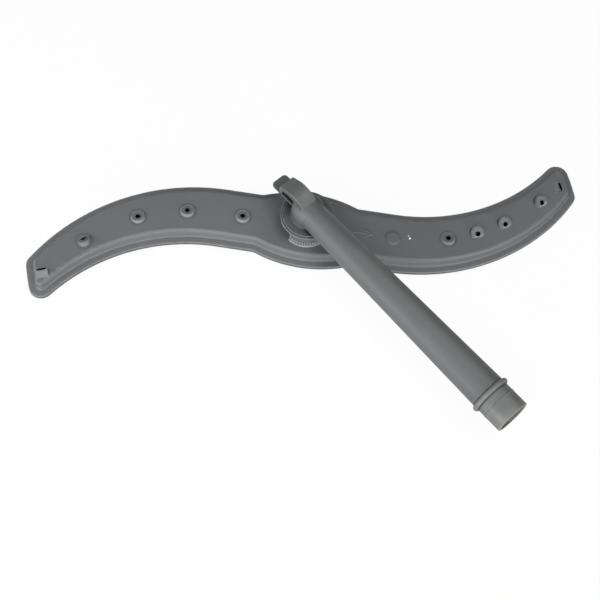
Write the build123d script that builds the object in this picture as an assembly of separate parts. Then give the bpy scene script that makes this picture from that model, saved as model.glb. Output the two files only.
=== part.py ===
from build123d import *

import os
from math import asin, atan2, cos, degrees, hypot, radians, sin, tan

# Upper spray arm of a dishwasher, with the feed pipe that carries it under the upper basket.
# Millimetres. +Z is the spin axis, pointing up, and Z = 0 is the arm's flat underside.
# +X runs along the feed pipe, from the spin axis to the plug at its open end.

# Plan of the S-shaped arm, measured along and across its straight middle stretch
tip_radius = 232.5
neck_half_length = 71.5
neck_width = 53.0
bend_radius = 160.5
bend_taper = 8.0
tip_heel_radius = 9.0
tip_nose_radius = 10.0
hub_width = 68.8
hub_length = 80.6
hub_blend_radius = 9.0
channel_corner = 4.4
arm_rest_angle = 39.8

# Section of the two welded shells
flange_width = 6.0
flange_thickness = 2.0
upper_rise = 8.0
lower_drop = 8.0
shell_wall = 2.0
wall_draft = 10.0
flat_round = 2.6
foot_round = 1.6
rim_round = 0.6
seam_groove = 0.25

# Spray nozzles: frustums on the upper flat, each cut by a slanted face.
# A station is a distance along the arm's middle line, measured from the spin axis or back from the tip.
# Slant leans the jet to the bend's outer side, and each nozzle is cored from inside to an even wall.
nozzle_hole_radius = 1.95
nozzle_wall = 1.4
nozzle_lip = 0.7
flat_base_radius = 6.7
flat_crown_radius = 4.6
flat_face_height = 1.5
flat_slant = 10.0
inner_flat_station = 53.5
first_flats_from_tip = (149.0, 107.5)
first_arm_aside = 1.0
second_flat_from_tip = 130.5
slant_base_radius = 6.4
slant_crown_radius = 5.0
slant_face_height = 2.0
slant_angle = 27.0
slants_from_tip = (105.2, 80.0, 41.5)
slant_aside = 0.4
slant_hole_shift = 1.8
drive_base_radius = 5.6
drive_crown_radius = 4.2
drive_face_height = 3.4
drive_angle = 42.0
drive_from_tip = 58.2
drive_aside = 3.6
drive_hole_shift = 1.4
blank_station = 72.2
blank_height = 0.7
blank_edge = 0.5
gate_station = 86.5
gate_aside = 1.5
gate_radius = 0.9
gate_height = 0.6

# Slot jets at the two tips: wedges with a slit right behind the high edge
wedge_width = 10.2
wedge_height = 2.6
slit_length = 6.7
slit_width = 2.4
slit_bite = 0.2
first_wedge_length = 6.6
first_slot_from_tip = 12.7
first_slot_aside = 5.2
first_slot_turn = 141.7
second_wedge_length = 4.4
second_slot_from_tip = 21.0
second_slot_aside = 0.6
second_slot_turn = -127.0

# Bearing nut that locks into the upper shell and turns on the pipe's spigot
nut_height = 16.0
neck_radius = 15.2
seat_clearance = 0.2
foot_radius = 20.6
foot_thickness = 1.5
grip_radius = 19.2
grip_angle = 84.0
grip_wall = 2.0
grip_turn = -86.0
pocket_floor = 2.0
rib_radius = 0.7
rib_height = 3.0
rib_pitch = 2.2
lug_radius = 18.2
lug_thickness = 2.2
lug_angle = 52.0
lug_side_clearance = 3.0

# Spigot, shield disc and column at the pipe's closed end
spigot_radius = 12.5
spigot_wall = 2.2
running_clearance = 0.3
end_float = 0.5
barb_reach = 1.4
barb_length = 3.0
snap_slot_width = 1.8
snap_slot_depth = 9.0
disc_radius = 22.1
disc_thickness = 2.0
disc_ledge_width = 1.7
disc_ledge_drop = 1.0
disc_round = 0.4
column_radius = 13.3
column_foot_round = 1.2
crown_round = 9.0
crown_drop = 0.6
pipe_lift = 7.4
belly_clearance = 1.0

# Tapered feed pipe with its stop bead and plug
pipe_start_radius = 11.7
pipe_end_radius = 15.0
pipe_wall = 2.0
bead_station = 209.0
bead_radius = 2.3
plug_radius = 14.8
plug_length = 24.4
plug_wall = 2.0
plug_edge = 0.6
seal_rib_station = 9.5
seal_rib_radius = 0.6
seal_rib_proud = 0.4

# Sprung clip behind the column that snaps on to a basket wire: a tongue and a humped strap above it
tongue_length = 36.6
tongue_width = 15.0
tongue_thickness = 2.2
tongue_corner = 3.4
tongue_edge = 0.5
tongue_lift = 2.8
strap_width = 14.6
strap_reach = 26.5
strap_root = 5.6
strap_back_slope = 45.0
crest_station = 8.0
crest_height = 17.8
crest_round = 17.5
tip_gap = 5.2
tip_thickness = 2.8
arch_station = 12.9
arch_height = 9.8
arch_round = 13.0
arch_foot = 1.5
lip_thickness = 2.4
mouth_gap = 1.0
strap_edge = 0.6

# Heights that follow from the sizes above
seam_z = lower_drop + flange_thickness
flat_z = seam_z + flange_thickness + upper_rise
ceiling_z = flat_z - shell_wall
nut_bottom_z = ceiling_z - lug_thickness
nut_top_z = flat_z + nut_height
disc_bottom_z = nut_top_z + end_float
disc_top_z = disc_bottom_z + disc_thickness
pipe_z = disc_top_z + pipe_lift
spigot_end_z = nut_bottom_z - end_float - barb_length

# Through cuts run this far past the solid
overcut = 1.0


def sector(radius, angle, turn):
    """A pie slice of the given opening angle, its middle turned from +X about the origin."""
    corner = 2 * radius
    side = corner * tan(radians(angle / 2))
    slice_ = Circle(radius) & make_face(Polyline((0, 0), (corner, -side), (corner, side), close=True))
    return Rot(0, 0, turn) * slice_


def one_arm(inset):
    """One arm in plan: between its two bend circles and inside the circle that its end sweeps."""
    half_width = neck_width / 2
    reach = tip_radius - inset
    convex_radius = bend_radius + bend_taper
    concave_radius = bend_radius - bend_taper
    arm = Pos(neck_half_length, convex_radius - half_width) * Circle(convex_radius - inset)
    arm -= Pos(neck_half_length, concave_radius + half_width) * Circle(concave_radius + inset)
    arm &= Circle(reach)
    arm &= Pos(neck_half_length + tip_radius / 2, 0) * Rectangle(tip_radius, 2 * tip_radius)
    end = arm.vertices().filter_by(lambda v: abs(hypot(v.X, v.Y) - reach) < 0.01)
    heel, nose = end.sort_by(Axis.Y)
    arm = fillet(heel, max(tip_heel_radius - inset, channel_corner))
    nose = arm.vertices().sort_by_distance(nose.center())[0]
    return fillet(nose, max(tip_nose_radius - inset, channel_corner))


def arm_outline(inset=0.0):
    """The whole S in plan, drawn in by an inset: two arms, the neck and the bulge round the bearing."""
    chord = hub_length / 2
    bulge = (hub_width - neck_width) / 2
    bulge_radius = (chord**2 + bulge**2) / (2 * bulge)
    far_side = Pos(0, bulge_radius - hub_width / 2) * Circle(bulge_radius - inset)
    near_side = Pos(0, hub_width / 2 - bulge_radius) * Circle(bulge_radius - inset)
    arm = one_arm(inset)
    neck = Rectangle(2 * neck_half_length, neck_width - 2 * inset)
    outline = neck + (far_side & near_side) + arm + Rot(0, 0, 180) * arm
    dents = outline.vertices().filter_by(lambda v: 1 < abs(v.X) < chord + 1)
    return fillet(dents, hub_blend_radius + inset)


def channel_block(inset, height):
    """A block inside the outline with leaning walls."""
    block = extrude(arm_outline(inset), height)
    return draft(block.faces().filter_by(Axis.Z, reverse=True), Plane.XY, wall_draft)


def level_face(body, height):
    """The flat face that lies at a height."""
    return body.faces().filter_by(Axis.Z).sort_by(lambda f: abs(f.center().Z - height))[0]


def shell(rise):
    """One shell of the arm, seam face down at Z = 0: flange, leaning walls and a flat."""
    channel = channel_block(flange_width, rise)
    channel = fillet(channel.faces().sort_by(Axis.Z)[-1].edges(), flat_round)
    body = extrude(arm_outline(), flange_thickness) + Pos(0, 0, flange_thickness) * channel
    body = fillet(level_face(body, flange_thickness).inner_wires()[0].edges(), foot_round)
    body = fillet(level_face(body, flange_thickness).outer_wire().edges(), rim_round)
    body = chamfer(level_face(body, 0).outer_wire().edges(), seam_groove)
    lean = radians(wall_draft)
    inset = flange_width - flange_thickness * tan(lean) + shell_wall / cos(lean)
    return body - channel_block(inset, flange_thickness + rise - shell_wall)


def tip_station():
    """Station at which the middle line, straight and then bent, meets the circle that the tips sweep."""
    lean = atan2(bend_radius, neck_half_length)
    square = tip_radius**2 - neck_half_length**2 - 2 * bend_radius**2
    turn = lean + asin(square / (2 * bend_radius * hypot(neck_half_length, bend_radius)))
    return neck_half_length + bend_radius * turn


def station_place(station, arm_turn, aside=0.0):
    """Place on the arm's flat at a distance along its middle line: X onwards, Y to the bend's inner side."""
    turn = max(station - neck_half_length, 0.0) / bend_radius
    x = min(station, neck_half_length) + bend_radius * sin(turn)
    y = bend_radius * (1 - cos(turn))
    level = flange_thickness + upper_rise
    return Rot(0, 0, arm_turn) * Pos(x, y, level) * Rot(0, 0, degrees(turn)) * Pos(0, aside, 0)


def frustum(base_radius, crown_radius, sunk, height):
    """A cone stub that stands on the flat and reaches down into it."""
    return Pos(0, 0, (height - sunk) / 2) * Cone(base_radius, crown_radius, height + sunk)


def nozzle(base_radius, crown_radius, face_height, slant, hole_shift):
    """A frustum with a slanted face, and its cut: the core below the face and the hole, shifted down it."""
    height = face_height + crown_radius * tan(radians(abs(slant)))
    face = Pos(0, 0, face_height) * Rot(slant, 0, 0)
    above = Pos(0, 0, 2 * height) * Box(6 * base_radius, 6 * base_radius, 4 * height)
    boss = frustum(base_radius, crown_radius, shell_wall / 2, height) - face * above
    core = frustum(base_radius - nozzle_wall, crown_radius - nozzle_wall, shell_wall + overcut, height)
    core -= face * Pos(0, 0, -nozzle_lip) * above
    depth = 2 * (height + 3 * shell_wall)
    hole = face * Pos(0, -hole_shift, 0) * Cylinder(nozzle_hole_radius, depth)
    return boss, core + hole


def slot_jet(length):
    """A wedge that rises along +Y, and the slit behind its high edge."""
    sunk = shell_wall / 2
    half = length / 2
    side = Polyline((-half, -sunk), (half, -sunk), (half, wedge_height), (-half, 0), close=True)
    ramp = extrude(Plane.YZ * make_face(side), wedge_width / 2, both=True)
    slit_y = half - slit_bite + slit_width / 2
    slit = Pos(0, slit_y, 0) * Box(slit_length, slit_width, 2 * (wedge_height + 2 * shell_wall))
    return ramp, slit


def jets():
    """Each jet's place on the arm's flat, with its boss and its cut."""
    flat = (flat_base_radius, flat_crown_radius, flat_face_height, flat_slant, 0.0)
    turned = (flat_base_radius, flat_crown_radius, flat_face_height, -flat_slant, 0.0)
    slanted = (slant_base_radius, slant_crown_radius, slant_face_height, slant_angle, slant_hole_shift)
    drive = (drive_base_radius, drive_crown_radius, drive_face_height, drive_angle, drive_hole_shift)
    tip = tip_station()
    yield station_place(inner_flat_station, 180, first_arm_aside), nozzle(*flat)
    for back in first_flats_from_tip:
        yield station_place(tip - back, 180, first_arm_aside), nozzle(*flat)
    for back in slants_from_tip:
        yield station_place(tip - back, 0, slant_aside), nozzle(*slanted)
    yield station_place(tip - second_flat_from_tip, 0), nozzle(*turned)
    yield station_place(tip - drive_from_tip, 180, drive_aside), nozzle(*drive)
    first_slot = station_place(tip - first_slot_from_tip, 180, first_slot_aside)
    yield first_slot * Rot(0, 0, first_slot_turn), slot_jet(first_wedge_length)
    second_slot = station_place(tip - second_slot_from_tip, 0, second_slot_aside)
    yield second_slot * Rot(0, 0, second_slot_turn), slot_jet(second_wedge_length)


def locking_hole():
    """The round hole for the bearing nut, with two notches that let its lugs through."""
    hole = Circle(neck_radius + seat_clearance)
    for turn in (grip_turn, grip_turn + 180):
        hole += sector(lug_radius + seat_clearance, lug_angle + lug_side_clearance, turn)
    return hole


def upper_shell():
    """The shell with the nozzles, the slot jets and the locking hole for the bearing nut."""
    body = shell(upper_rise)
    cuts = []
    for place, (boss, cut) in jets():
        body += place * boss
        cuts.append(place * cut)
    blank = Cone(flat_base_radius, flat_base_radius - blank_edge, 2 * blank_height)
    body += station_place(blank_station, 0) * blank
    gate = Cone(gate_radius, gate_radius / 2, 2 * gate_height)
    body += station_place(gate_station, 0, gate_aside) * gate
    ceiling = flange_thickness + upper_rise - shell_wall
    cuts.append(Pos(0, 0, ceiling - overcut) * extrude(locking_hole(), shell_wall + 2 * overcut))
    for cut in cuts:
        body -= cut
    return body


def lower_shell():
    """The plain shell underneath."""
    return mirror(shell(lower_drop), about=Plane.XY)


def bearing_nut():
    """Sleeve with two ribbed grips on a foot, and two locking lugs under the shell's ceiling."""
    sleeve = Pos(0, 0, nut_bottom_z) * extrude(Circle(neck_radius), nut_top_z - nut_bottom_z)
    body = sleeve
    rib_angle = degrees(rib_pitch / grip_radius)
    ribs_each_side = int((grip_angle / 2) / rib_angle - 0.5)
    for turn in (grip_turn, grip_turn + 180):
        foot = sector(foot_radius, grip_angle, turn)
        grip = sector(grip_radius, grip_angle, turn)
        pocket_span = grip_angle - 2 * degrees(grip_wall / grip_radius)
        pocket = sector(grip_radius - grip_wall, pocket_span, turn) - Circle(neck_radius)
        body += Pos(0, 0, flat_z) * extrude(foot, foot_thickness)
        body += Pos(0, 0, flat_z) * extrude(grip, nut_height)
        floor_z = flat_z + foot_thickness + pocket_floor
        body -= Pos(0, 0, floor_z) * extrude(pocket, nut_top_z - floor_z + overcut)
        for i in range(-ribs_each_side, ribs_each_side + 1):
            place = Rot(0, 0, turn + i * rib_angle) * Pos(grip_radius, 0, flat_z + foot_thickness)
            body += place * extrude(Circle(rib_radius), rib_height)
        lug = sector(lug_radius, lug_angle, turn + 90)
        body += Pos(0, 0, nut_bottom_z) * extrude(lug, lug_thickness)
    bore = Circle(spigot_radius + running_clearance)
    length = nut_top_z - nut_bottom_z + 2 * overcut
    return body - Pos(0, 0, nut_bottom_z - overcut) * extrude(bore, length)


def spigot_and_disc():
    """The upright at the closed end, turned about the spin axis: barbed spigot, shield disc, crowned column."""
    barb_radius = spigot_radius + barb_reach
    barb_z = spigot_end_z + barb_length
    lead_radius = spigot_radius - spigot_wall / 4
    step_radius = disc_radius - disc_ledge_width
    ledge_z = disc_top_z - disc_ledge_drop
    crown_z = pipe_z + pipe_start_radius - crown_drop
    crown_middle = (column_radius - crown_round, crown_z - crown_round)
    turned = Polyline((0, spigot_end_z), (lead_radius, spigot_end_z), (barb_radius, barb_z),
                      (spigot_radius, barb_z), (spigot_radius, disc_bottom_z), (disc_radius, disc_bottom_z),
                      (disc_radius, ledge_z), (step_radius, ledge_z), (step_radius, disc_top_z),
                      (column_radius, disc_top_z), (column_radius, crown_middle[1]))
    crown = CenterArc(crown_middle, crown_round, 0, 90)
    closing = Polyline((crown_middle[0], crown_z), (0, crown_z), (0, spigot_end_z))
    profile = Plane.XZ * make_face(Curve() + [turned, crown, closing])
    upright = revolve(profile, Axis.Z)
    rims = upright.edges().filter_by(GeomType.CIRCLE)
    rims = rims.filter_by(lambda e: abs(e.radius - disc_radius) < 0.01 or on_rim(e, step_radius, disc_top_z))
    upright = fillet(rims, disc_round)
    foot = upright.edges().filter_by(GeomType.CIRCLE).filter_by(lambda e: on_rim(e, column_radius, disc_top_z))
    return fillet(foot, column_foot_round)


def on_rim(edge, radius, height):
    """Whether a round edge has this radius and lies at this height."""
    return abs(edge.radius - radius) < 0.01 and abs(edge.center().Z - height) < 0.01


def pipe_outside():
    """The tapered pipe with its bead, plug and low sealing rib, turned about its own axis."""
    end = bead_station + plug_length
    side = Polyline((0, 0), (0, pipe_start_radius), (bead_station, pipe_end_radius), (bead_station, plug_radius),
                    (end - plug_edge, plug_radius), (end, plug_radius - plug_edge), (end, 0), close=True)
    profile = make_face(side)
    profile += Pos(bead_station, pipe_end_radius) * Circle(bead_radius)
    rib_x = bead_station + seal_rib_station
    profile += Pos(rib_x, plug_radius + seal_rib_proud - seal_rib_radius) * Circle(seal_rib_radius)
    pipe = Pos(0, 0, pipe_z) * revolve(profile, Axis.X)
    return pipe - under_pipe(foot_radius + belly_clearance, disc_bottom_z)


def under_pipe(radius, top_z):
    """The round space about the spin axis, up to a height, that the turning nut needs."""
    return Pos(0, 0, spigot_end_z) * extrude(Circle(radius), top_z - spigot_end_z)


def waterway():
    """The bore from the plug to the spigot's end, over a floor above the nut, with a ball at the turn."""
    end = bead_station + plug_length
    start_bore = pipe_start_radius - pipe_wall
    bore = make_face(Polyline((0, 0), (0, start_bore), (end + overcut, plug_radius - plug_wall),
                              (end + overcut, 0), close=True))
    spigot_bore = spigot_radius - spigot_wall
    drop = Pos(0, 0, spigot_end_z - overcut) * extrude(Circle(spigot_bore), pipe_z - spigot_end_z + overcut)
    along = Pos(0, 0, pipe_z) * revolve(bore, Axis.X)
    along -= under_pipe(foot_radius + belly_clearance + pipe_wall, disc_top_z)
    return along + drop + Pos(0, 0, pipe_z) * Sphere(start_bore)


def basket_clip():
    """The tongue and the humped strap above it, whose lip leaves a mouth for the wire to snap through."""
    tongue_top = pipe_z + tongue_lift
    plan = Pos(-tongue_length / 2, 0) * Rectangle(tongue_length, tongue_width)
    plan = fillet(plan.vertices().group_by(Axis.X)[0], tongue_corner)
    tongue = Pos(0, 0, tongue_top - tongue_thickness) * extrude(plan, tongue_thickness)
    tongue = fillet(tongue.faces().filter_by(Axis.Z).edges(), tongue_edge)
    tip_under = tongue_top + tip_gap
    tip_top = tip_under + tip_thickness
    crest = tongue_top + crest_height
    arch = (-arch_station, tongue_top + arch_height)
    root_top = crest - (crest_station + strap_root) * tan(radians(strap_back_slope))
    lip_x = lip_thickness - strap_reach
    mouth = tongue_top + mouth_gap
    side = Polyline((strap_root, root_top), (-crest_station, crest), (-strap_reach, tip_top),
                    (-strap_reach, mouth), (lip_x, mouth), (lip_x, tip_under), arch,
                    (0, tongue_top + arch_foot), close=True)
    face = make_face(side)
    face = fillet(face.vertices().sort_by(Axis.Y)[-1], crest_round)
    face = fillet(face.vertices().sort_by_distance(arch)[0], arch_round)
    strap = extrude(Plane.XZ * face, strap_width / 2, both=True)
    tops = strap.faces().filter_by(lambda f: f.normal_at().Z > 0.2)
    upper = tops.edges().filter_by(lambda e: abs(e.center().Y) > strap_width / 4)
    return tongue, fillet(upper, strap_edge)


def feed_pipe():
    """One moulding: spigot, disc, column, pipe, plug and clip round one waterway."""
    tongue, strap = basket_clip()
    body = spigot_and_disc() + pipe_outside() + tongue + strap
    body -= waterway()
    slot_z = spigot_end_z + snap_slot_depth / 2
    for turn in (45, 135):
        body -= Rot(0, 0, turn) * Pos(0, 0, slot_z) * Box(4 * spigot_radius, snap_slot_width, snap_slot_depth)
    return body


def build():
    on_pipe = Rot(0, 0, arm_rest_angle)
    at_seam = on_pipe * Pos(0, 0, seam_z)
    return {
        "feed_pipe": feed_pipe(),
        "bearing_nut": on_pipe * bearing_nut(),
        "arm_upper_shell": at_seam * upper_shell(),
        "arm_lower_shell": at_seam * lower_shell(),
    }


os.makedirs("parts", exist_ok=True)
for name, piece in build().items():
    export_step(piece, f"parts/{name}.step")
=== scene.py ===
import math

import bpy
import numpy as np
from mathutils import Matrix, Vector


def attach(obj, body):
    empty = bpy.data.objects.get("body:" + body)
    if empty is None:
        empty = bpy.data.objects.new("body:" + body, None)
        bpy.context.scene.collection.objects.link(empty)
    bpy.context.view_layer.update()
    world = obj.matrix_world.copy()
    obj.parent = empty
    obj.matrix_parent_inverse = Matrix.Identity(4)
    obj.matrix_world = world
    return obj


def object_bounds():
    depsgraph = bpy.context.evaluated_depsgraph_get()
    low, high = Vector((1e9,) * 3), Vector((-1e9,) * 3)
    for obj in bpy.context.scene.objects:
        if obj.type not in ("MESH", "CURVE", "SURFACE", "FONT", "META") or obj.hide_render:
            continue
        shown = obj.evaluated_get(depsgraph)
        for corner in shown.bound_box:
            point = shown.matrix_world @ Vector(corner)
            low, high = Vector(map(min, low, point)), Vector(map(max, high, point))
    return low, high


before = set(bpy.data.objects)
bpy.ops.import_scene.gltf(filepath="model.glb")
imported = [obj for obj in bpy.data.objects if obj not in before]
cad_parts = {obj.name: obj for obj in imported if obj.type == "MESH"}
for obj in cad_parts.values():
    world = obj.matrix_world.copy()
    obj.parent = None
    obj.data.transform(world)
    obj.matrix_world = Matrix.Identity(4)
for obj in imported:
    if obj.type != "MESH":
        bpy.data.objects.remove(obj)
cad_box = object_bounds()

# Lengths are in metres. A share says how far a colour moves towards another, from 0 to 1.
# A pair is where a smooth step begins and where it ends.

# The viewpoint: the pipe's turn from the picture's horizontal, the camera's place and its aim
PIPE_TURN = math.radians(44.077)
CAMERA_PLACE = (-0.000284, -0.465480, 0.914600)
CAMERA_DIP = math.radians(66.063)
CAMERA_ROLL = math.radians(4.727)
FOCAL_PIXELS = 1212.6
PICTURE_PIXELS = 600.0
SENSOR_MM = 36.0

# Soft boxes: name, degrees to the right of the front, degrees above the floor, distance, side, watts
LAMPS = (
    ("front_low_box", -20.0, 14.0, 1.5, 0.60, 8.1),
    ("left_low_box", -65.0, 20.0, 1.0, 0.50, 3.9),
    ("right_low_box", 42.0, 10.0, 1.5, 0.45, 10.4),
    ("front_box", -25.0, 50.0, 1.5, 0.60, 6.9),
    ("right_high_box", 60.0, 72.0, 1.5, 0.60, 9.0),
    ("back_high_box", -140.0, 60.0, 1.5, 0.60, 1.0),
)
WORLD_STRENGTH = 0.09

# The floor's own tone, the darker one that it throws back on the part, and its share of plain white
FLOOR_TONE = 0.82
BOUNCE_TONE = 0.25
WHITE_SHARE = 0.95
FLOOR_HALF = 20.0
FLOOR_LEVEL = -0.0002
BACKDROP_RADIUS = 16.0
BACKDROP_TOP = 6.0
BACKDROP_SIDES = 64

# Colours: the plastics, deep and pale; a near black for painted shade; pale tones for painted highlights and
# a painted glint, some of them also wear; and a stain
WHITE = (1.0, 1.0, 1.0, 1.0)
ARM_DEEP = (0.112, 0.116, 0.121, 1.0)
ARM_PALE = (0.170, 0.177, 0.184, 1.0)
PIPE_DEEP = (0.110, 0.116, 0.117, 1.0)
PIPE_PALE = (0.169, 0.178, 0.179, 1.0)
PAINTED_SHADE = (0.006, 0.006, 0.006, 1.0)
EDGE_HIGHLIGHT_AND_WEAR = (0.460, 0.470, 0.475, 1.0)
SCUFF_AND_HIGHLIGHT = (0.300, 0.302, 0.296, 1.0)
STAINED = (0.240, 0.230, 0.198, 1.0)
GATE_GLINT = (0.820, 0.830, 0.840, 1.0)

# Gloss of the plastics, and how far round a point the painted shade in creases looks for walls
ARM_ROUGHNESS = 0.52
PIPE_ROUGHNESS = 0.53
ARM_IOR = 1.49
PIPE_IOR = 1.42
ARM_SHADE_REACH = 0.004
ARM_SHADE_SHARE = 0.35
PIPE_SHADE_REACH = 0.012
PIPE_SHADE_SHARE = 0.75
NUT_SHADE_SHARE = 0.25

# Unevenness of every plastic. A noise has a scale per metre, a detail and a distortion.
CLOUD_NOISE = (28.0, 3.0, 0.0)
MOTTLE_NOISE = (210.0, 2.0, 0.0)
GRAIN_NOISE = (1500.0, 2.0, 0.0)
RUB_NOISE = (95.0, 6.0, 1.2)
SCUFF_NOISE = (75.0, 4.0, 0.8)
RUB_STEP = (0.08, 0.24)
SCUFF_STEP = (-0.04, 0.16)
MIDDLE_TONE = 0.38
CLOUD_TONE = 0.30
MOTTLE_TONE = 0.14
GRAIN_TONE = 0.10
RUB_TONE = 0.10
CLOUD_GLOSS = 0.10
GRAIN_GLOSS = 0.08
RUB_GLOSS = 0.05
EDGE_GLOSS = 0.06
GRAIN_RELIEF = 0.6
MOTTLE_RELIEF = 0.4
GRAIN_DEPTH = 0.0001
GRAIN_STRENGTH = 0.35
SHADE_SAMPLES = 8
HOLLOW_STEP = (0.42, 0.68)
HOLLOW_SHARE = 0.97
EDGE_STEP = (0.06, 0.40)
EDGE_MOTTLE = 0.6

# Plan of the arm: its middle line runs straight from the spin axis, then along a bend to the tip.
# A station is a distance along that line, and aside is to the bend's inner side.
ARM_REST_ANGLE = math.radians(39.8)
FIRST_ARM = math.pi
SECOND_ARM = 0.0
TIP_RADIUS = 0.2325
NECK_HALF_LENGTH = 0.0715
BEND_RADIUS = 0.1605
FLAT_Z = 0.0200
FLAT_STEP = (0.0185, 0.0195)

# Jets: their stations from the spin axis or back from the tip, and their holes from the boss's foot
INNER_FLAT_STATION = 0.0535
FIRST_FLATS_FROM_TIP = (0.1490, 0.1075)
FIRST_FLATS_ASIDE = 0.0010
SECOND_FLAT_FROM_TIP = 0.1305
FLAT_HOLE = (0.0, 0.0, 0.0015)
SLANTS_FROM_TIP = (0.1052, 0.0800, 0.0415)
SLANTS_ASIDE = 0.0004
SLANT_HOLE = (0.0, -0.0016, 0.0012)
DRIVE_FROM_TIP = 0.0582
DRIVE_ASIDE = 0.0036
DRIVE_HOLE = (0.0, -0.0010, 0.0025)
DRIVE_MOUTH = (-0.0003, -0.0014, 0.0026)

# Slot jets at the tips. Each row has the arm, the distance back from the tip, the distance aside, the slot's
# turn, how far ahead of its middle the slit lies, and the share of painted highlight on its ramp.
SLOTS = (
    (FIRST_ARM, 0.0127, 0.0052, math.radians(141.7), 0.0043, 0.26),
    (SECOND_ARM, 0.0210, 0.0006, math.radians(-127.0), 0.0032, 0.04),
)
SLIT_HALF_LENGTH = 0.0023

# Small marks on the second arm's flat: a raised arrow by x and y, a raised round blank by its station,
# and painted glints on the gate's specks, each by its station, distance aside and radius
ARROW_TIP = (0.0415, 0.0354)
ARROW_TAILS = ((0.0293, 0.0249), (0.0393, 0.0294), (0.0353, 0.0343))
ARROW_HALF_WIDTH = 0.0011
ARROW_HEIGHT = 0.0003
ARROW_CELL = 0.00025
ARROW_MARGIN = 0.0015
BLANK_STATION = 0.0722
BLANK_STEP = (0.0042, 0.0066)
BLANK_ROUND = 0.0009
GATE_SPECKS = ((0.0853, 0.0035, 0.0006), (0.0864, 0.0012, 0.0010))
SPECK_RAGGED = 0.0004
SPECK_CORE = 0.7
SPECK_EDGE = 1.1

# Painted light on the arm: edges painted pale as highlight and wear, painted shade on the rim's side,
# painted highlight on the leaning walls and a painted shadow round the hub
TOP_EDGE_REACH = 0.0013
TOP_EDGE_SHARE = 0.40
TOP_EDGE_STEP = (0.0203, 0.0208)
BASE_EDGE_REACH = 0.0006
BASE_EDGE_SHARE = 0.10
RIM_TOP_STEP = (0.0109, 0.0113)
RIM_FOOT_STEP = (0.0074, 0.0077)
RIM_SHARE = 0.50
LEANING_STEP = (0.0120, 0.0126)
LEANING_SHARE = 0.10
HUB_STEP = (0.028, 0.050)
HUB_SHARE = 0.13

# Painted light and shade on the jets, by the distance from a boss's middle, a hole's or a slit's
ABOVE_FLAT_STEP = (0.0201, 0.0205)
BOSS_FOOT = 0.0071
BOSS_FOOT_STEP = (0.0003, 0.0009)
BOSS_FOOT_SHARE = 0.22
BOSS_WALL_FROM = (0.0042, 0.0047)
BOSS_WALL_TO = (0.0066, 0.0069)
BOSS_WALL_SHARE = 0.45
SLANT_FACE_STEP = (0.0034, 0.0042)
SLANT_FACE_BACK = (-0.0010, 0.0015)
SLANT_FACE_SHARE = 0.13
SLANT_CROWN = 0.0050
SLANT_CROWN_STEP = (0.0009, 0.0016)
SLANT_CROWN_BACK = (0.0, 0.0040)
SLANT_CROWN_SHARE = 0.50
RAMP_STEP = (0.0040, 0.0054)
HOLE_STEP = (0.0019, 0.0023)
MOUTH_STEP = (0.0024, 0.0032)
SLIT_STEP = (0.0015, 0.0018)
BLACK_SHARE = 0.98

# Wear, a stain and painted light on the pipe: its bead, the plug up to the mouth, and a painted highlight
# band on each side
MOUTH_X = cad_box[1][0]
BEAD_X = 0.2090
BEAD_STEP = (0.0012, 0.0022)
BEAD_SHARE = 0.28
BEAD_CREASE = 0.0026
CREASE_STEP = (0.0002, 0.0008)
CREASE_SHARE = 0.60
PLUG_STEP = (0.2112, 0.2122)
SEAL_RIB_X = 0.2185
SEAL_RIB_STEP = (0.0012, 0.0017)
PIPE_EDGE_REACH = 0.0009
PIPE_EDGE_SHARE = 0.70
LEFT_SIDE_Y = -0.0123
LEFT_SIDE_STEP = (0.0, 0.0045)
RIGHT_SIDE_Y = 0.0022
RIGHT_SIDE_STEP = (0.0, 0.0070)
RIGHT_SIDE_START = (0.045, 0.060)
RIGHT_SIDE_SHARE = 0.20
PLUG_SHARE = 0.02
PLUG_SCUFF_SHARE = 0.16
PLUG_RUB_SHARE = 0.10
PLUG_LEFT_SHARE = 0.22
PLUG_RIGHT_SHARE = 0.18
LIME_LENGTH = 0.009
LIME_SHARE = 0.45
LIME_RUB_SHARE = 0.3

# Painted shade on the closed end: disc, strap, tongue, bend and the strap's root; and a stain on the handled
# crest
DISC_STEP = (0.0388, 0.0398)
DISC_SHARE = 0.27
STRAP_STEP = (0.0545, 0.0575)
STRAP_SHARE = 0.12
TONGUE_END = (-0.012, -0.008)
TONGUE_TOP = (0.0495, 0.0515)
TONGUE_SHARE = 0.26
BEND_END = (0.025, 0.045)
BEND_FOOT = (0.0388, 0.0428)
BEND_TOP = (0.0515, 0.0545)
BEND_SHARE = 0.10
ROOT = (0.0025, 0.0115, 0.0510)
ROOT_STEP = (0.003, 0.011)
ROOT_SHARE = 0.75
CREST = (-0.004, 0.0, 0.0610)
CREST_STEP = (0.002, 0.011)
CREST_SHARE = 0.16
CREST_MOTTLE = 1.0

# Pale edges of the nut's grips, painted as highlight and wear
NUT_EDGE_REACH = 0.0016
NUT_EDGE_SHARE = 0.78


class Wire:
    """An output socket of a finish. Arithmetic on it adds Math nodes to that finish."""

    def __init__(self, finish, socket):
        self.finish = finish
        self.socket = socket

    def maths(self, operation, first, second=0.0):
        return self.finish.node("ShaderNodeMath", {"operation": operation}, {0: first, 1: second})

    def __add__(self, other):
        return self.maths("ADD", self, other)

    def __radd__(self, other):
        return self.maths("ADD", other, self)

    def __sub__(self, other):
        return self.maths("SUBTRACT", self, other)

    def __rsub__(self, other):
        return self.maths("SUBTRACT", other, self)

    def __mul__(self, other):
        return self.maths("MULTIPLY", self, other)

    def __rmul__(self, other):
        return self.maths("MULTIPLY", other, self)

    def __abs__(self):
        return self.maths("ABSOLUTE", self)


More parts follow.
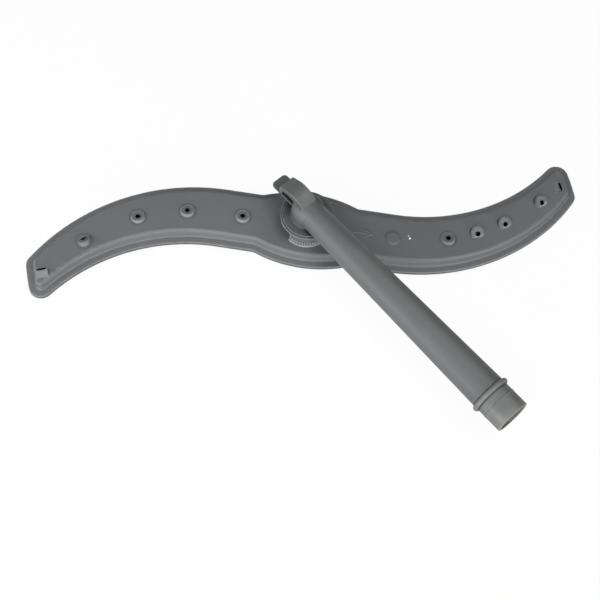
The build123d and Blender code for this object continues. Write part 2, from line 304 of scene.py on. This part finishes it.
class Finish:
    """A material whose nodes are added one at a time by node()."""

    def __init__(self, name):
        self.material = bpy.data.materials.new(name)
        self.material.use_nodes = True
        self.tree = self.material.node_tree
        self.tree.nodes.clear()
        self.output = self.tree.nodes.new("ShaderNodeOutputMaterial")

    def node(self, kind, settings=None, inputs=None, output=0):
        """Adds a node: its settings first, then its sockets' values or links. Gives one of its outputs."""
        made = self.tree.nodes.new(kind)
        for key, value in (settings or {}).items():
            setattr(made, key, value)
        for key, value in (inputs or {}).items():
            if isinstance(value, Wire):
                self.tree.links.new(value.socket, made.inputs[key])
            else:
                made.inputs[key].default_value = value
        return Wire(self, made.outputs[output])

    def blend(self, amount, first, second):
        """Mixes two colours: all of the first at amount 0, all of the second at 1."""
        return self.node("ShaderNodeMix", {"data_type": "RGBA"}, {"Factor": amount, 6: first, 7: second}, 2)

    def surface(self, wire):
        """Ends the finish with a shader and gives its material."""
        self.tree.links.new(wire.socket, self.output.inputs["Surface"])
        return self.material


def grey(level):
    return (level, level, level, 1.0)


def length(first, second, third=0.0):
    """Length of the vector that has these parts."""
    return first.maths("SQRT", first * first + second * second + third * third)


def nearest(distances):
    """The smallest of several distances."""
    near = distances[0]
    for other in distances[1:]:
        near = near.maths("MINIMUM", near, other)
    return near


class Plastic(Finish):
    """Satin moulded plastic: cloudy tone, spark-eroded grain, painted shade in creases and holes."""

    def __init__(self, name, deep, pale, roughness, ior, shade_reach, shade_share):
        super().__init__(name)
        self.ior = ior
        self.place = self.node("ShaderNodeTexCoord", output="Object")
        parts = [self.node("ShaderNodeSeparateXYZ", {}, {0: self.place}, axis) for axis in "XYZ"]
        self.x, self.y, self.z = parts
        self.cloud = self.noise(*CLOUD_NOISE)
        self.mottle = self.noise(*MOTTLE_NOISE)
        self.grain = self.noise(*GRAIN_NOISE)
        self.rub = self.step(self.noise(*RUB_NOISE), RUB_STEP)
        tone = MIDDLE_TONE + self.cloud * CLOUD_TONE + self.mottle * MOTTLE_TONE
        self.colour = self.blend(tone + self.grain * GRAIN_TONE + self.rub * RUB_TONE, deep, pale)
        # Painted shade: darker in creases and black in hollows, where walls close a point in
        closed = self.shut_in(shade_reach, inside=False)
        self.paint(closed * shade_share, PAINTED_SHADE)
        self.paint(self.step(closed, HOLLOW_STEP) * HOLLOW_SHARE, PAINTED_SHADE)
        self.gloss = roughness + self.cloud * CLOUD_GLOSS + self.grain * GRAIN_GLOSS + self.rub * RUB_GLOSS
        self.normal = self.node("ShaderNodeBump", {}, {
            "Height": self.grain * GRAIN_RELIEF + self.mottle * MOTTLE_RELIEF,
            "Strength": GRAIN_STRENGTH, "Distance": GRAIN_DEPTH}, "Normal")

    def noise(self, scale, detail, distortion):
        """Noise about zero."""
        return self.node("ShaderNodeTexNoise", {}, {
            "Vector": self.place, "Scale": scale, "Detail": detail, "Distortion": distortion}, "Fac") - 0.5

    def shut_in(self, reach, inside):
        """How far walls within reach close a point in, looking outwards or inside the plastic."""
        settings = {"only_local": True, "samples": SHADE_SAMPLES, "inside": inside}
        return 1.0 - self.node("ShaderNodeAmbientOcclusion", settings, {"Distance": reach}, "AO")

    def step(self, value, ends):
        """Rises smoothly from 0 at the first end to 1 at the second."""
        return self.node("ShaderNodeMapRange", {"interpolation_type": "SMOOTHSTEP"}, {
            "Value": value, "From Min": ends[0], "From Max": ends[1]})

    def fall(self, value, ends):
        """Falls smoothly from 1 at the first end to 0 at the second."""
        return 1.0 - self.step(value, ends)

    def away(self, place):
        """Distance from a place on the plan, or in space where the place has a height."""
        return length(*(axis - part for axis, part in zip((self.x, self.y, self.z), place)))

    def stroke(self, start, end):
        """Distance on the plan from the straight stroke between two places."""
        reach = math.dist(start, end)
        ahead = ((end[0] - start[0]) / reach, (end[1] - start[1]) / reach)
        right = self.x - start[0]
        up = self.y - start[1]
        run = right * ahead[0] + up * ahead[1]
        run = run.maths("MINIMUM", run.maths("MAXIMUM", run), reach)
        return length(right - run * ahead[0], up - run * ahead[1])

    def paint(self, amount, colour):
        """Lays a colour over what is there."""
        self.colour = self.blend(amount, self.colour, colour)

    def highlight_and_wear_edges(self, reach, share, where=1.0):
        """Edges painted pale as a highlight and as wear: a point is on an edge where the wall behind it is
        thin within the given reach.
        """
        edge = self.step(self.shut_in(reach, inside=True), EDGE_STEP) * where
        # Paints the edges pale, as highlight and wear
        self.paint(edge * (share + self.mottle * EDGE_MOTTLE), EDGE_HIGHLIGHT_AND_WEAR)
        self.gloss = self.gloss - edge * EDGE_GLOSS

    def raise_up(self, height, depth):
        """Bumps the surface up, by the full depth where the height is 1."""
        self.normal = self.node("ShaderNodeBump", {}, {
            "Height": height, "Strength": 1.0, "Distance": depth, "Normal": self.normal}, "Normal")

    def finished(self):
        return self.surface(self.node("ShaderNodeBsdfPrincipled", {}, {
            "Base Color": self.colour, "Roughness": self.gloss, "Normal": self.normal, "IOR": self.ior}))


def tip_station():
    """Station at which the middle line, straight and then bent, meets the circle that the tips sweep."""
    lean = math.atan2(BEND_RADIUS, NECK_HALF_LENGTH)
    square = TIP_RADIUS ** 2 - NECK_HALF_LENGTH ** 2 - 2.0 * BEND_RADIUS ** 2
    turn = lean + math.asin(square / (2.0 * BEND_RADIUS * math.hypot(NECK_HALF_LENGTH, BEND_RADIUS)))
    return NECK_HALF_LENGTH + BEND_RADIUS * turn


def on_arm(station, arm, aside=0.0):
    """Frame of a place on an arm's flat: X along the middle line, Y to the bend's inner side, Z up."""
    turn = max(station - NECK_HALF_LENGTH, 0.0) / BEND_RADIUS
    x = min(station, NECK_HALF_LENGTH) + BEND_RADIUS * math.sin(turn)
    y = BEND_RADIUS * (1.0 - math.cos(turn))
    to_arm = Matrix.Rotation(ARM_REST_ANGLE + arm, 4, "Z") @ Matrix.Translation((x, y, FLAT_Z))
    return to_arm @ Matrix.Rotation(turn, 4, "Z") @ Matrix.Translation((0.0, aside, 0.0))


def flat_jets():
    """Frames of the plain jets: three on the first arm and one on the second."""
    tip = tip_station()
    first = [INNER_FLAT_STATION] + [tip - back for back in FIRST_FLATS_FROM_TIP]
    frames = [on_arm(station, FIRST_ARM, FIRST_FLATS_ASIDE) for station in first]
    return frames + [on_arm(tip - SECOND_FLAT_FROM_TIP, SECOND_ARM)]


def slanted_jets():
    """Frames of the slanted jets on the second arm."""
    return [on_arm(tip_station() - back, SECOND_ARM, SLANTS_ASIDE) for back in SLANTS_FROM_TIP]


def driving_jet():
    """Frame of the jet on the first arm that drives it round."""
    return on_arm(tip_station() - DRIVE_FROM_TIP, FIRST_ARM, DRIVE_ASIDE)


def arm_plastic(name):
    """The plain plastic of both shells and of the arrow moulded on them."""
    return Plastic(name, ARM_DEEP, ARM_PALE, ARM_ROUGHNESS, ARM_IOR, ARM_SHADE_REACH, ARM_SHADE_SHARE)


def arm_top_finish():
    """The upper shell's plastic, with a rounded blank, painted glints on the gate's specks, and painted
    light and shade on the jets.
    """
    f = arm_plastic("arm_top_plastic")
    # Top edges painted pale, as highlight and wear
    f.highlight_and_wear_edges(TOP_EDGE_REACH, TOP_EDGE_SHARE, f.fall(f.z, TOP_EDGE_STEP))
    # Painted shade on the rim's side
    f.paint(f.fall(f.z, RIM_TOP_STEP) * RIM_SHARE, PAINTED_SHADE)
    on_flat = f.step(f.z, FLAT_STEP)
    # Painted highlight on the leaning walls
    f.paint(f.step(f.z, LEANING_STEP) * (1.0 - on_flat) * LEANING_SHARE, SCUFF_AND_HIGHLIGHT)
    # Painted shadow on the flat round the hub
    f.paint(f.fall(length(f.x, f.y), HUB_STEP) * on_flat * HUB_SHARE, PAINTED_SHADE)
    blank = on_arm(BLANK_STATION, SECOND_ARM).translation.xy
    f.raise_up(f.fall(f.away(blank), BLANK_STEP) * on_flat, BLANK_ROUND)
    # Painted glints on the gate's specks
    for station, aside, radius in GATE_SPECKS:
        speck = on_arm(station, SECOND_ARM, aside).translation.xy
        ragged = f.away(speck) + f.grain * SPECK_RAGGED
        f.paint(f.fall(ragged, (radius * SPECK_CORE, radius * SPECK_EDGE)) * on_flat, GATE_GLINT)
    shade_and_highlight_flat_jets(f)
    shade_and_highlight_slanted_jets(f)
    shade_and_highlight_slots(f)
    blacken_holes(f)
    return f.finished()


def shade_and_highlight_flat_jets(f):
    """Painted shade at the feet of the plain and driving bosses, and painted highlight on their walls."""
    out = nearest([f.away(jet.translation.xy) for jet in flat_jets() + [driving_jet()]])
    # Painted shade at the bosses' feet, painted highlight on their walls
    f.paint(f.fall(abs(out - BOSS_FOOT), BOSS_FOOT_STEP) * BOSS_FOOT_SHARE, PAINTED_SHADE)
    wall = f.step(out, BOSS_WALL_FROM) * f.step(f.z, ABOVE_FLAT_STEP) * f.fall(out, BOSS_WALL_TO)
    f.paint(wall * BOSS_WALL_SHARE, SCUFF_AND_HIGHLIGHT)


def shade_and_highlight_slanted_jets(f):
    """Painted highlight on the upper half of each slanted face, and painted shade on the crown behind it."""
    above = f.step(f.z, ABOVE_FLAT_STEP)
    for jet in slanted_jets():
        boss = jet.translation.xy
        behind = jet.to_3x3() @ Vector((0.0, 1.0, 0.0))
        back = (f.x - boss.x) * behind.x + (f.y - boss.y) * behind.y
        out = f.away(boss)
        # Painted highlight on the face, painted shade on the crown behind it
        face = f.fall(out, SLANT_FACE_STEP) * f.step(back, SLANT_FACE_BACK) * above
        f.paint(face * SLANT_FACE_SHARE, SCUFF_AND_HIGHLIGHT)
        crown = f.fall(abs(out - SLANT_CROWN), SLANT_CROWN_STEP)
        f.paint(f.step(back, SLANT_CROWN_BACK) * crown * SLANT_CROWN_SHARE, PAINTED_SHADE)


def shade_and_highlight_slots(f):
    """Painted highlight on the ramps of the slot jets at the tips, and black painted shade inside their
    slits.
    """
    above = f.step(f.z, ABOVE_FLAT_STEP)
    for arm, back, aside, turn, ahead, share in SLOTS:
        slot = on_arm(tip_station() - back, arm, aside) @ Matrix.Rotation(turn, 4, "Z")
        # Painted highlight on the ramp, black painted shade in the slit
        f.paint(f.fall(f.away(slot.translation.xy), RAMP_STEP) * above * share, SCUFF_AND_HIGHLIGHT)
        ends = [(slot @ Vector((side * SLIT_HALF_LENGTH, ahead, 0.0))).xy for side in (-1.0, 1.0)]
        f.paint(f.fall(f.stroke(*ends), SLIT_STEP) * BLACK_SHARE, PAINTED_SHADE)


def blacken_holes(f):
    """Black painted shade inside the holes of the round jets and in the driving jet's wider mouth."""
    # Black painted shade in the holes and the driving jet's mouth
    holes = [jet @ Vector(FLAT_HOLE) for jet in flat_jets()]
    holes += [jet @ Vector(SLANT_HOLE) for jet in slanted_jets()]
    holes.append(driving_jet() @ Vector(DRIVE_HOLE))
    f.paint(f.fall(nearest([f.away(hole) for hole in holes]), HOLE_STEP) * BLACK_SHARE, PAINTED_SHADE)
    mouth = driving_jet() @ Vector(DRIVE_MOUTH)
    f.paint(f.fall(f.away(mouth), MOUTH_STEP) * BLACK_SHARE, PAINTED_SHADE)


def arrow_finish():
    return arm_plastic("arrow_plastic").finished()


def arm_base_finish():
    """The lower shell's plastic, with edges painted pale as highlight and wear, and painted shade on its
    rim.
    """
    f = arm_plastic("arm_base_plastic")
    # Edges painted pale as highlight and wear
    f.highlight_and_wear_edges(BASE_EDGE_REACH, BASE_EDGE_SHARE)
    # Painted shade on the rim's side
    f.paint(f.step(f.z, RIM_FOOT_STEP) * RIM_SHARE, PAINTED_SHADE)
    return f.finished()


def pipe_finish():
    """The pipe's plastic, scuffed and painted light at the plug, painted shade at the closed end, stained at
    the clip's crest.
    """
    f = Plastic("pipe_plastic", PIPE_DEEP, PIPE_PALE, PIPE_ROUGHNESS, PIPE_IOR,
                PIPE_SHADE_REACH, PIPE_SHADE_SHARE)
    # Edges painted pale as highlight and wear, away from the seal rib
    f.highlight_and_wear_edges(PIPE_EDGE_REACH, PIPE_EDGE_SHARE, f.step(abs(f.x - SEAL_RIB_X), SEAL_RIB_STEP))
    scuff_and_light_plug(f)
    shade_closed_end(f)
    # Painted shade round the strap's root
    f.paint(f.fall(f.away(ROOT), ROOT_STEP) * ROOT_SHARE, PAINTED_SHADE)
    f.paint(f.fall(f.away(CREST), CREST_STEP) * (CREST_SHARE + f.mottle * CREST_MOTTLE), STAINED)
    return f.finished()


def scuff_and_light_plug(f):
    """Scuffs and painted highlight bands on the plug and pipe, a painted highlight on the bead, painted
    shade in its creases, lime at the mouth.
    """
    scuff = f.step(f.noise(*SCUFF_NOISE), SCUFF_STEP)
    # Painted highlight bands along the left and right sides
    left = f.fall(abs(f.y - LEFT_SIDE_Y), LEFT_SIDE_STEP)
    right = f.fall(abs(f.y - RIGHT_SIDE_Y), RIGHT_SIDE_STEP)
    # Scuffs and rubbing on the plug, with the painted highlight bands added
    wear_and_highlight = PLUG_SHARE + scuff * PLUG_SCUFF_SHARE + f.rub * PLUG_RUB_SHARE
    wear_and_highlight = wear_and_highlight + left * PLUG_LEFT_SHARE + right * PLUG_RIGHT_SHARE
    f.paint(f.step(f.x, PLUG_STEP) * wear_and_highlight, SCUFF_AND_HIGHLIGHT)
    # Painted highlight band along the pipe's right side
    f.paint(right * f.step(f.x, RIGHT_SIDE_START) * RIGHT_SIDE_SHARE, SCUFF_AND_HIGHLIGHT)
    # Painted highlight on the bead, painted shade in its creases
    f.paint(f.fall(abs(f.x - BEAD_X), BEAD_STEP) * BEAD_SHARE, SCUFF_AND_HIGHLIGHT)
    for crease_x in (BEAD_X - BEAD_CREASE, BEAD_X + BEAD_CREASE):
        f.paint(f.fall(abs(f.x - crease_x), CREASE_STEP) * CREASE_SHARE, PAINTED_SHADE)
    lime = f.step(f.x, (MOUTH_X - LIME_LENGTH, MOUTH_X))
    f.paint(lime * (LIME_SHARE + f.rub * LIME_RUB_SHARE), STAINED)


def shade_closed_end(f):
    """Painted shade on the disc and what is below it, the strap, the tongue and the bend."""
    # Painted shade on the disc, the strap, the tongue and the bend
    f.paint(f.fall(f.z, DISC_STEP) * DISC_SHARE, PAINTED_SHADE)
    f.paint(f.step(f.z, STRAP_STEP) * STRAP_SHARE, PAINTED_SHADE)
    f.paint(f.fall(f.x, TONGUE_END) * f.fall(f.z, TONGUE_TOP) * TONGUE_SHARE, PAINTED_SHADE)
    f.paint(f.fall(f.x, BEND_END) * f.step(f.z, BEND_FOOT) * f.fall(f.z, BEND_TOP) * BEND_SHARE, PAINTED_SHADE)


def nut_finish():
    """The bearing nut's plastic, as the pipe's, with edges painted pale as highlight and as wear from
    fingers.
    """
    f = Plastic("nut_plastic", PIPE_DEEP, PIPE_PALE, PIPE_ROUGHNESS, ARM_IOR,
                ARM_SHADE_REACH, NUT_SHADE_SHARE)
    # Edges painted pale as highlight and wear
    f.highlight_and_wear_edges(NUT_EDGE_REACH, NUT_EDGE_SHARE)
    return f.finished()


def studio_white(name):
    """Floor that the camera sees as white, with the object's shadow kept."""
    f = Finish(name)
    camera_ray = f.node("ShaderNodeLightPath", output="Is Camera Ray")
    glossy_ray = f.node("ShaderNodeLightPath", output="Is Glossy Ray")
    clear_ray = f.node("ShaderNodeLightPath", output="Is Transmission Ray")
    rays = camera_ray + glossy_ray + clear_ray
    tone = f.blend(camera_ray, grey(BOUNCE_TONE), grey(FLOOR_TONE))
    matt = f.node("ShaderNodeBsdfDiffuse", {}, {"Color": tone})
    glow = f.node("ShaderNodeEmission", {}, {"Color": WHITE, "Strength": 1.0})
    return f.surface(f.node("ShaderNodeMixShader", {}, {0: rays * WHITE_SHARE, 1: matt, 2: glow}))


def make_mesh(name, points, faces, finish):
    """Puts an array of points and a list of faces into a new object with one finish."""
    mesh = bpy.data.meshes.new(name)
    mesh.from_pydata(points.tolist(), [], faces)
    mesh.materials.append(finish)
    made = bpy.data.objects.new(name, mesh)
    bpy.context.scene.collection.objects.link(made)
    return made


def away_from(points, start, end):
    """Distance of each point of a grid from the straight stroke between two ends."""
    start, run = np.array(start), np.array(end) - np.array(start)
    share = np.clip((points - start) @ run / (run @ run), 0.0, 1.0)
    return np.linalg.norm(points - start - share[..., None] * run, axis=-1)


def turning_arrow(finish):
    """Low arrow that shows which way the arm turns: over a grid of x and y, the height is that of the flat
    plus ARROW_HEIGHT * (1 - (d / ARROW_HALF_WIDTH) ** 2), where d is the distance from the nearest stroke.
    Beyond the strokes the grid dips into the wall, and its edge goes down to a floor that closes it."""
    ends = np.array(ARROW_TAILS + (ARROW_TIP,))
    low = ends.min(axis=0) - ARROW_MARGIN
    high = ends.max(axis=0) + ARROW_MARGIN
    x, y = (np.arange(a, b, ARROW_CELL) for a, b in zip(low, high))
    points = np.stack(np.meshgrid(x, y, indexing="ij"), axis=-1)
    near = np.min([away_from(points, tail, ARROW_TIP) for tail in ARROW_TAILS], axis=0)
    rise = np.maximum(1.0 - (near / ARROW_HALF_WIDTH) ** 2, -1.0) * ARROW_HEIGHT
    rise[[0, -1], :] = -2.0 * ARROW_HEIGHT
    rise[:, [0, -1]] = -2.0 * ARROW_HEIGHT
    cells = np.arange(rise.size).reshape(rise.shape)
    corners = [cells[:-1, :-1], cells[1:, :-1], cells[1:, 1:], cells[:-1, 1:]]
    faces = np.stack(corners, axis=-1).reshape(-1, 4)
    rim = np.concatenate([cells[:-1, 0], cells[-1, :-1], cells[:0:-1, -1], cells[0, :0:-1]])
    made = make_mesh("turning_arrow", np.dstack([points, FLAT_Z + rise]).reshape(-1, 3),
                     faces.tolist() + [rim[::-1].tolist()], finish)
    made.data.polygons.foreach_set("use_smooth", np.ones(len(made.data.polygons), dtype=bool))
    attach(made, "spray_arm")


def floor(finish):
    """A flat square of side 2 * FLOOR_HALF, just under the part."""
    corners = np.array([(-1.0, -1.0, 0.0), (1.0, -1.0, 0.0), (1.0, 1.0, 0.0), (-1.0, 1.0, 0.0)])
    points = corners * FLOOR_HALF + (0.0, 0.0, FLOOR_LEVEL)
    made = make_mesh("studio_floor", points, [[0, 1, 2, 3]], finish)


def backdrop(finish):
    """A round wall far behind: at angle a and height h, the point (r cos a, r sin a, h), closed round."""
    angle = np.arange(BACKDROP_SIDES) * 2.0 * math.pi / BACKDROP_SIDES
    ring = np.stack([np.cos(angle), np.sin(angle), np.zeros(BACKDROP_SIDES)], axis=-1) * BACKDROP_RADIUS
    points = np.concatenate([ring + (0.0, 0.0, FLOOR_LEVEL), ring + (0.0, 0.0, BACKDROP_TOP)])
    here = np.arange(BACKDROP_SIDES)
    there = np.roll(here, -1)
    faces = np.stack([there, here, here + BACKDROP_SIDES, there + BACKDROP_SIDES], axis=-1)
    made = make_mesh("studio_backdrop", points, faces.tolist(), finish)


def turned(vector):
    """A vector in the picture's own directions (right, away, up), turned into the part's frame."""
    return Matrix.Rotation(PIPE_TURN, 3, "Z") @ Vector(vector)


def camera():
    """Camera axes from its dip below the horizon and its roll about the line of sight."""
    right = Vector((1.0, 0.0, 0.0))
    down = Vector((0.0, -math.sin(CAMERA_DIP), -math.cos(CAMERA_DIP)))
    ahead = Vector((0.0, math.cos(CAMERA_DIP), -math.sin(CAMERA_DIP)))
    c, s = math.cos(CAMERA_ROLL), math.sin(CAMERA_ROLL)
    axes = [turned(c * right - s * down), turned(-s * right - c * down), turned(-ahead)]
    data = bpy.data.cameras.new("viewpoint")
    data.sensor_width = SENSOR_MM
    data.lens = SENSOR_MM * FOCAL_PIXELS / PICTURE_PIXELS
    made = bpy.data.objects.new("viewpoint", data)
    bpy.context.scene.collection.objects.link(made)
    matrix = Matrix(axes).transposed().to_4x4()
    matrix.translation = turned(CAMERA_PLACE)
    made.matrix_world = matrix
    bpy.context.scene.camera = made


def lamp(name, bearing, height, distance, side, watts):
    """A square soft box that faces the part. Its bearing from the front and its height are in degrees."""
    data = bpy.data.lights.new(name, "AREA")
    data.shape = "SQUARE"
    data.size = side
    data.energy = watts
    made = bpy.data.objects.new(name, data)
    bpy.context.scene.collection.objects.link(made)
    around = math.radians(bearing)
    up = math.radians(height)
    outwards = (math.sin(around) * math.cos(up), -math.cos(around) * math.cos(up), math.sin(up))
    made.location = turned(outwards) * distance
    made.rotation_euler = (-made.location).to_track_quat("-Z", "Y").to_euler()


def studio():
    """A dim white sky, the soft boxes, a white floor with its backdrop, and the camera."""
    bpy.context.scene.view_settings.view_transform = "Standard"
    world = bpy.data.worlds.new("studio")
    world.use_nodes = True
    sky = world.node_tree.nodes["Background"]
    sky.inputs["Color"].default_value = WHITE
    sky.inputs["Strength"].default_value = WORLD_STRENGTH
    bpy.context.scene.world = world
    for soft_box in LAMPS:
        lamp(*soft_box)
    white = studio_white("studio_white")
    floor(white)
    backdrop(white)
    camera()


finishes = {
    "arm_upper_shell": arm_top_finish(),
    "arm_lower_shell": arm_base_finish(),
    "feed_pipe": pipe_finish(),
    "bearing_nut": nut_finish(),
}
for node, finish in finishes.items():
    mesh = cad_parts[node].data
    mesh.materials.clear()
    mesh.materials.append(finish)
turning_arrow(arrow_finish())

studio()
